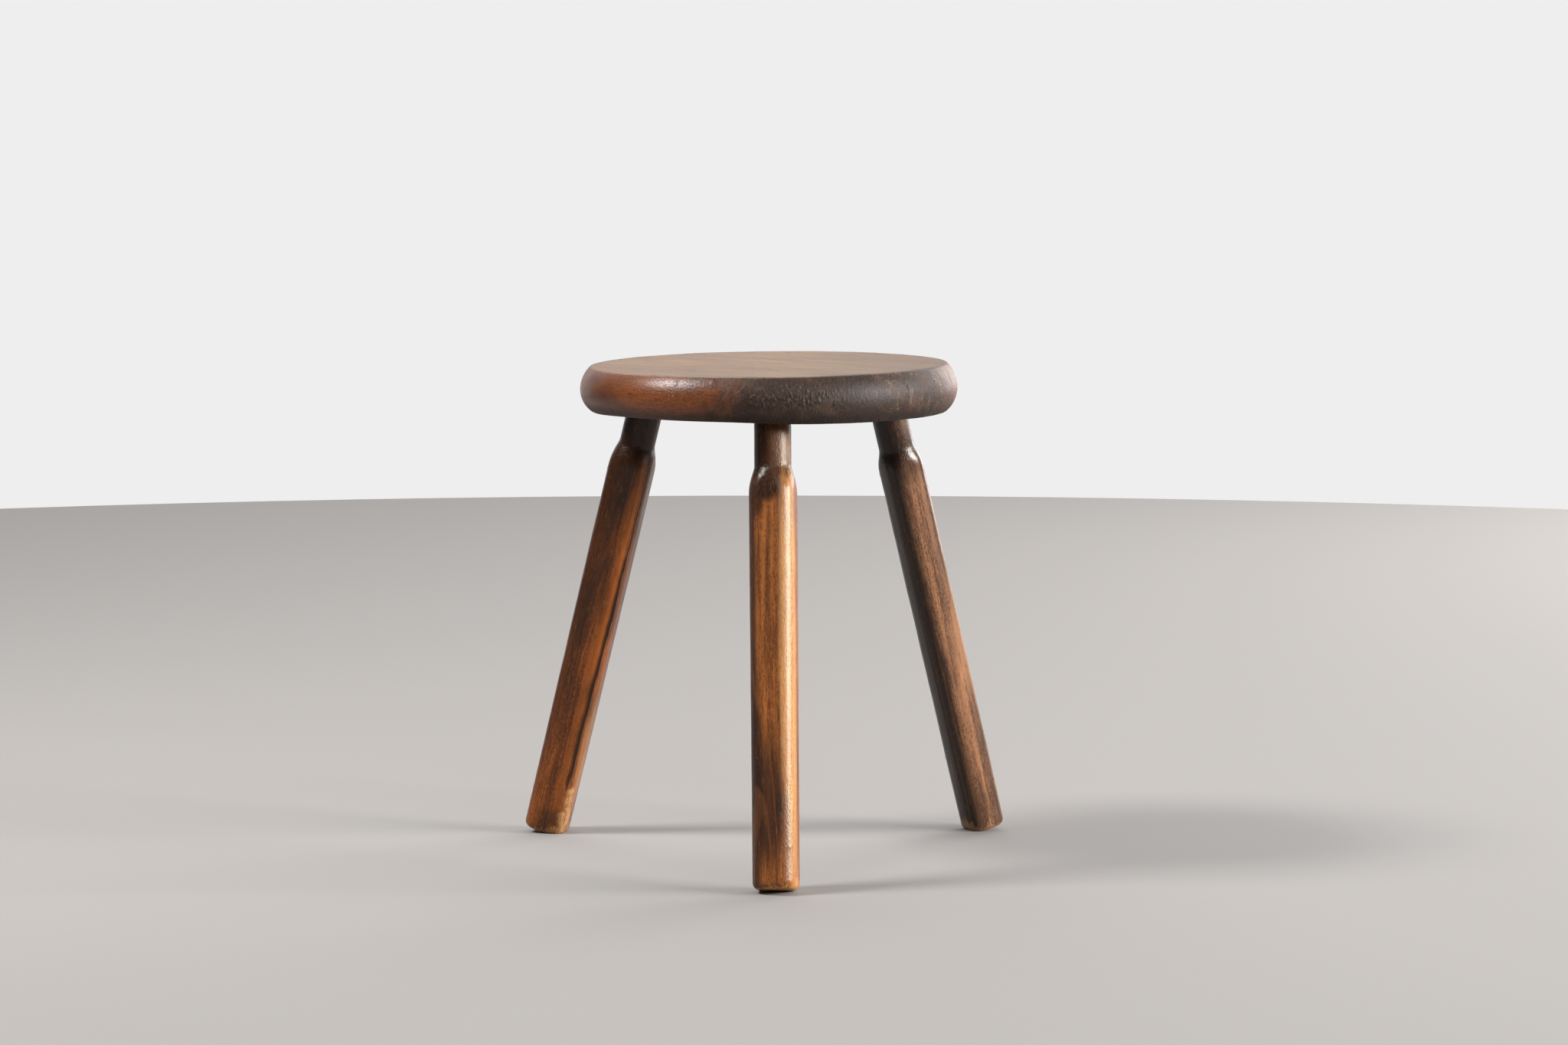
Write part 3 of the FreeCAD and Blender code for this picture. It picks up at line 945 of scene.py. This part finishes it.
def makeSeatWood():
    s, shades, scars = seatFinish, seatFinish["shades"], seatShape["scars"]
    material, shader = newFinish("seatWood")
    tree = material.node_tree
    coords = objectPlace(tree)
    grain = grainSpace(coords, seatGrain())
    x, y, z = splitXyz(coords)
    figure = useGroup(woodFigure, grain=grain, **s["figure"])
    speckle = noise(coords, s["speckleWaves"], 2.0, 0.6)
    shade = ramp(mixed({**figure, "speckle": speckle}, s["grading"]), *s["gradingEnds"])
    edge = blend(shade, s["light"], s["dark"])
    edge = layer(edge, s["deep"], ramp(figure["clouds"], *s["clouds"]), shades["clouds"])
    edge = layer(edge, s["ring"], figure["rings"], shades["rings"])
    turn = wrapped(minus(calc("ARCTAN2", y, x), scars["azimuth"]))
    # Painted shade: the edge darkens towards its left end as seen from the front
    edge = blend(ramp(turn, *s["shadedTurns"], 0.0, s["shaded"]), edge, s["deep"])

    # End grain drank more stain: a dark stretch of the edge at both ends of the plank
    slant = times(minus(z, seatWidest), -s["endSlant"])
    tall = vectorCalc("MULTIPLY", coords, s["endWaves"])
    ragged = waver(tall, s["endRagged"], 1.0, 5.0, 0.65)
    starts = [-scars["spread"] + fade for fade in s["endStart"]]
    finishes = [scars["spread"] + fade for fade in s["endFinish"]]
    ends = larger(*[
        times(ramp(plus(side, slant, ragged), *starts), ramp(plus(side, ragged), *finishes))
        for side in (turn, wrapped(plus(turn, pi)))])
    mottle = ramp(noise(coords, s["mottleWaves"], 4.0, 0.65), 0.45, 0.7)
    ashen = blend(times(mottle, shades["mottle"]), s["endGrainAndShade"], s["endBrown"])
    ashen = blend(ramp(speckle, 0.5, 0.72, 0.0, 0.5), ashen, s["endBrown"])
    edge = layer(edge, ashen, ends, shades["ends"])

    # Bowed growth lines where the end grain begins, and pale scuffs farther round
    bow = calc("POWER", over(minus(z, s["lineHeight"]), s["lineReach"]), 2.0)
    drift = times(noise(coords, s["driftWaves"]), s["lineDrift"])
    count = plus(over(turn, s["lineSpacing"]), times(bow, s["lineBow"]), drift)
    lines = times(
        ramp(calc("PINGPONG", count, 0.5), 0.4, 0.5), ramp(noise(coords, s["breakWaves"]), 0.48, 0.66),
        between(turn, *s["lineTurns"], s["turnFade"]), ramp(bow, 1.0, 0.6))
    edge = layer(edge, s["scarLight"], lines, shades["lines"])
    scuffs = times(
        ramp(noise(tall, 1.6, 4.0, 0.7), 0.52, 0.66), ramp(speckle, 0.4, 0.6),
        between(turn, *s["scuffTurns"], s["turnFade"]))
    edge = layer(edge, s["scarLight"], scuffs, shades["scuffs"])
    # Painted shade: the edge is darkened below its widest line, where it turns down and away from the light
    under = ramp(z, *s["underHeights"])
    edge = layer(edge, s["endGrainAndShade"], under, shades["under"])
    edge = layer(edge, s["fleck"], figure["flecks"], shades["flecks"])
    # Raised fibres painted pale and torn ones dark: partly their own colour, partly painted highlight and
    # painted shade
    edge = layer(edge, s["scarLight"], readMask(tree, "raised"), shades["raised"])
    edge = layer(edge, s["crack"], readMask(tree, "torn"), shades["torn"])

    # The flat top is rubbed pale, with a dry film of dust and wax that is thicker in some places
    top = blend(shade, s["topLight"], s["topDark"])
    top = layer(top, s["dark"], figure["rings"], shades["topRings"])
    spot = vectorCalc("ADD", grain, (s["dustSeed"], 0.0, 0.0))
    cloud = grainNoise(spot, *s["cloudWaves"], 4.0, 0.6)
    grit = grainNoise(spot, *s["gritWaves"], 2.0, 0.6)
    dust = ramp(plus(times(cloud, 0.7), times(grit, 0.3)), *s["dustRange"])
    top = layer(top, s["dust"], dust, shades["dust"])
    top = layer(top, s["topStainAndShade"], useGroup(stainPatch, grain=coords, **s["spill"])["mask"], shades["spill"])
    # Painted shade: the top darkens towards its right side
    top = blend(ramp(x, *s["topShade"]), top, s["topStainAndShade"])
    rim = times(ends, ramp(lengthOf(joinXyz(x, y)), *s["rimRadii"]))
    top = layer(top, ashen, rim, shades["rim"])

    onTop = readMask(tree, "topFace")
    colour = blend(onTop, edge, top)
    colour = layer(colour, s["endGrainAndShade"], readMask(tree, "dent"), shades["dent"])
    colour = blend(readMask(tree, "split"), colour, s["crack"])
    masks = {**figure, "ends": ends, "mottledEnds": times(ends, mottle), "under": under}
    waxed = plus(s["roughness"], mixed(masks, s["matt"]))
    dry = plus(s["topRoughness"], times(dust, s["dustRoughness"]))
    roughness = plus(times(waxed, minus(1.0, onTop)), times(dry, onTop))
    dress(shader, colour, roughness, mixed(figure, s["relief"]), s)
    shader.inputs["Specular IOR Level"].default_value = s["reflection"]
    return material


# The wedges are bare split wood
wedgeFinish = dict(
    light=tone(196, 152, 104), dark=tone(158, 112, 70), flecks=0.4,
    roughness=0.6, streakRoughness=0.2,
    figure=dict(seed=6.4, ringWidth=3 * mm, streakWidth=0.8 * mm),
)


def makeWedgeWood():
    s = wedgeFinish
    material, shader = newFinish("wedgeWood")
    figure = useGroup(woodFigure, grain=objectPlace(material.node_tree), **s["figure"])
    colour = blend(ramp(figure["streaks"], 0.35, 0.65), s["light"], s["dark"])
    feed(shader.inputs["Base Color"], layer(colour, s["dark"], figure["flecks"], s["flecks"]))
    feed(shader.inputs["Roughness"], plus(s["roughness"], times(figure["streaks"], s["streakRoughness"])))
    return material


def makeSeat():
    s = seatShape
    points = seatProfile()
    line = profileLine("seatLine", points)
    seat = newObject("seatPlank")
    addTree(seat, turnedForm, profile=line, around=s["columns"], along=len(points),
            crowding=s["crowding"], crowdedAzimuth=s["crowdedAzimuth"])
    addTree(seat, endGrainScars, seatRadius=seatRadius, **s["scars"])
    addTree(seat, drySplit, radius=seatRadius, **s["split"])
    addTree(seat, unevenPlank, top=s["top"], thickness=s["thickness"], **s["uneven"])
    addTree(seat, handWear, finish=makeSeatWood(), **s["wear"])
    bores = [boreCutter(leg["azimuth"]) for leg in legSides.values()]
    for bore in bores:
        cutAway(seat, bore)
    settle(seat)
    discard(line, *bores)
    return seat


def makeLeg(name):
    s, leg = legShape, legSides[name]
    points = legProfile(leg["side"], leg["shoulder"])
    line = profileLine("legLine", points)
    piece = newObject(name + "Leg")
    addTree(piece, turnedForm, profile=line, around=s["columns"], along=len(points), side=leg["side"],
            shavedSide=leg["side"] * (1 - s["shavedShare"]) * sqrt(2), turn=leg["turn"],
            arrisSoftness=leg["softness"], shoulderSoftness=s["shoulderSoftness"], footHeight=footEnd,
            footTaper=s["footTaper"], shaveWander=s["shaveWander"], shaveSeed=float(leg["seed"]))
    for fault in leg["faults"]:
        addTree(piece, drySplit, **fault)
    addTree(piece, handWear, floorTilt=s["splay"], floorDrop=s["underside"], seed=leg["seed"],
            finish=makeLegWood(name), **s["wear"])
    kerf = kerfCutter(leg["azimuth"])
    cutAway(piece, kerf)
    settle(piece, legPlace(leg["azimuth"]))
    discard(line, kerf)
    return piece


seat = makeSeat()
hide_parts("seat")
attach(seat, "root")
for name in legSides:
    leg = makeLeg(name)
    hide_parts("leg_" + name)
    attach(leg, "root")
wedgeWood = makeWedgeWood()
for name in legSides:
    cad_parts["wedge_" + name].material_slots[0].material = wedgeWood
print("seat, legs and wedges made")


# Stage: a round pale floor, soft light from the right and the upper left, and the photograph's view

stageSettings = dict(
    floorRadius=3.1, floorSides=160, floorColour=tone(141, 137, 134), floorRoughness=0.85,
    back=tone(239, 238, 239), ambient=0.13, lightAim=(0, 0, 0.25),
    eye=(-0.1309, -4.7036, 0.7585), tilt=radians(84.175), heading=radians(-1.752),
    lens=129.02, sensor=36,
)
# Azimuth and height in degrees, distance, width, height and power
softLights = dict(
    keyRight=(-15, 16.5, 6.0, 3.4, 1.4, 590),
    fillRight=(48, 16, 3.6, 2.0, 2.0, 74),
    upperLeft=(-171, 49, 2.8, 0.72, 0.62, 84),
    frontFill=(-72, 36, 4.0, 3.0, 2.2, 36),
    backGlow=(90, 14, 6.5, 10.8, 5.0, 116),
    overhead=(90, 50, 5.0, 5.0, 4.0, 126),
)


def makeFloor():
    s = stageSettings
    bpy.ops.mesh.primitive_circle_add(vertices=s["floorSides"], radius=s["floorRadius"], fill_type="NGON")
    floor = bpy.context.object
    floor.name = "floor"
    material, shader = newFinish("paleFloor")
    shader.inputs["Base Color"].default_value = s["floorColour"]
    shader.inputs["Roughness"].default_value = s["floorRoughness"]
    floor.data.materials.append(material)


# The camera sees a pale backdrop, and the object is lit by a dimmer one
def makeSurround():
    world = bpy.data.worlds.new("studio")
    bpy.context.scene.world = world
    world.use_nodes = True
    background = world.node_tree.nodes["Background"]
    background.inputs["Color"].default_value = stageSettings["back"]
    seen = addNode(world.node_tree, "ShaderNodeLightPath").outputs["Is Camera Ray"]
    strength = ramp(seen, 0.0, 1.0, stageSettings["ambient"], 1.0, smooth=False)
    feed(background.inputs["Strength"], strength)


def softLight(name, azimuth, height, distance, across, tall, power):
    light = bpy.data.lights.new(name, "AREA")
    light.shape = "RECTANGLE"
    light.size, light.size_y = across, tall
    light.energy = power
    lamp = newObject(name, light)
    level = cos(radians(height))
    back = Vector((cos(radians(azimuth)) * level, sin(radians(azimuth)) * level, sin(radians(height))))
    lamp.location = Vector(stageSettings["lightAim"]) + back * distance
    lamp.rotation_euler = back.to_track_quat("Z", "Y").to_euler()
    lamp.visible_camera = False


def makeCamera():
    camera = newObject("camera", bpy.data.cameras.new("camera"))
    camera.location = stageSettings["eye"]
    camera.rotation_euler = (stageSettings["tilt"], 0, stageSettings["heading"])
    camera.data.sensor_width = stageSettings["sensor"]
    camera.data.lens = stageSettings["lens"]
    bpy.context.scene.camera = camera


makeFloor()
makeSurround()
for name, settings in softLights.items():
    softLight(name, *settings)
makeCamera()
bpy.context.scene.view_settings.view_transform = "Standard"
print("stage set")
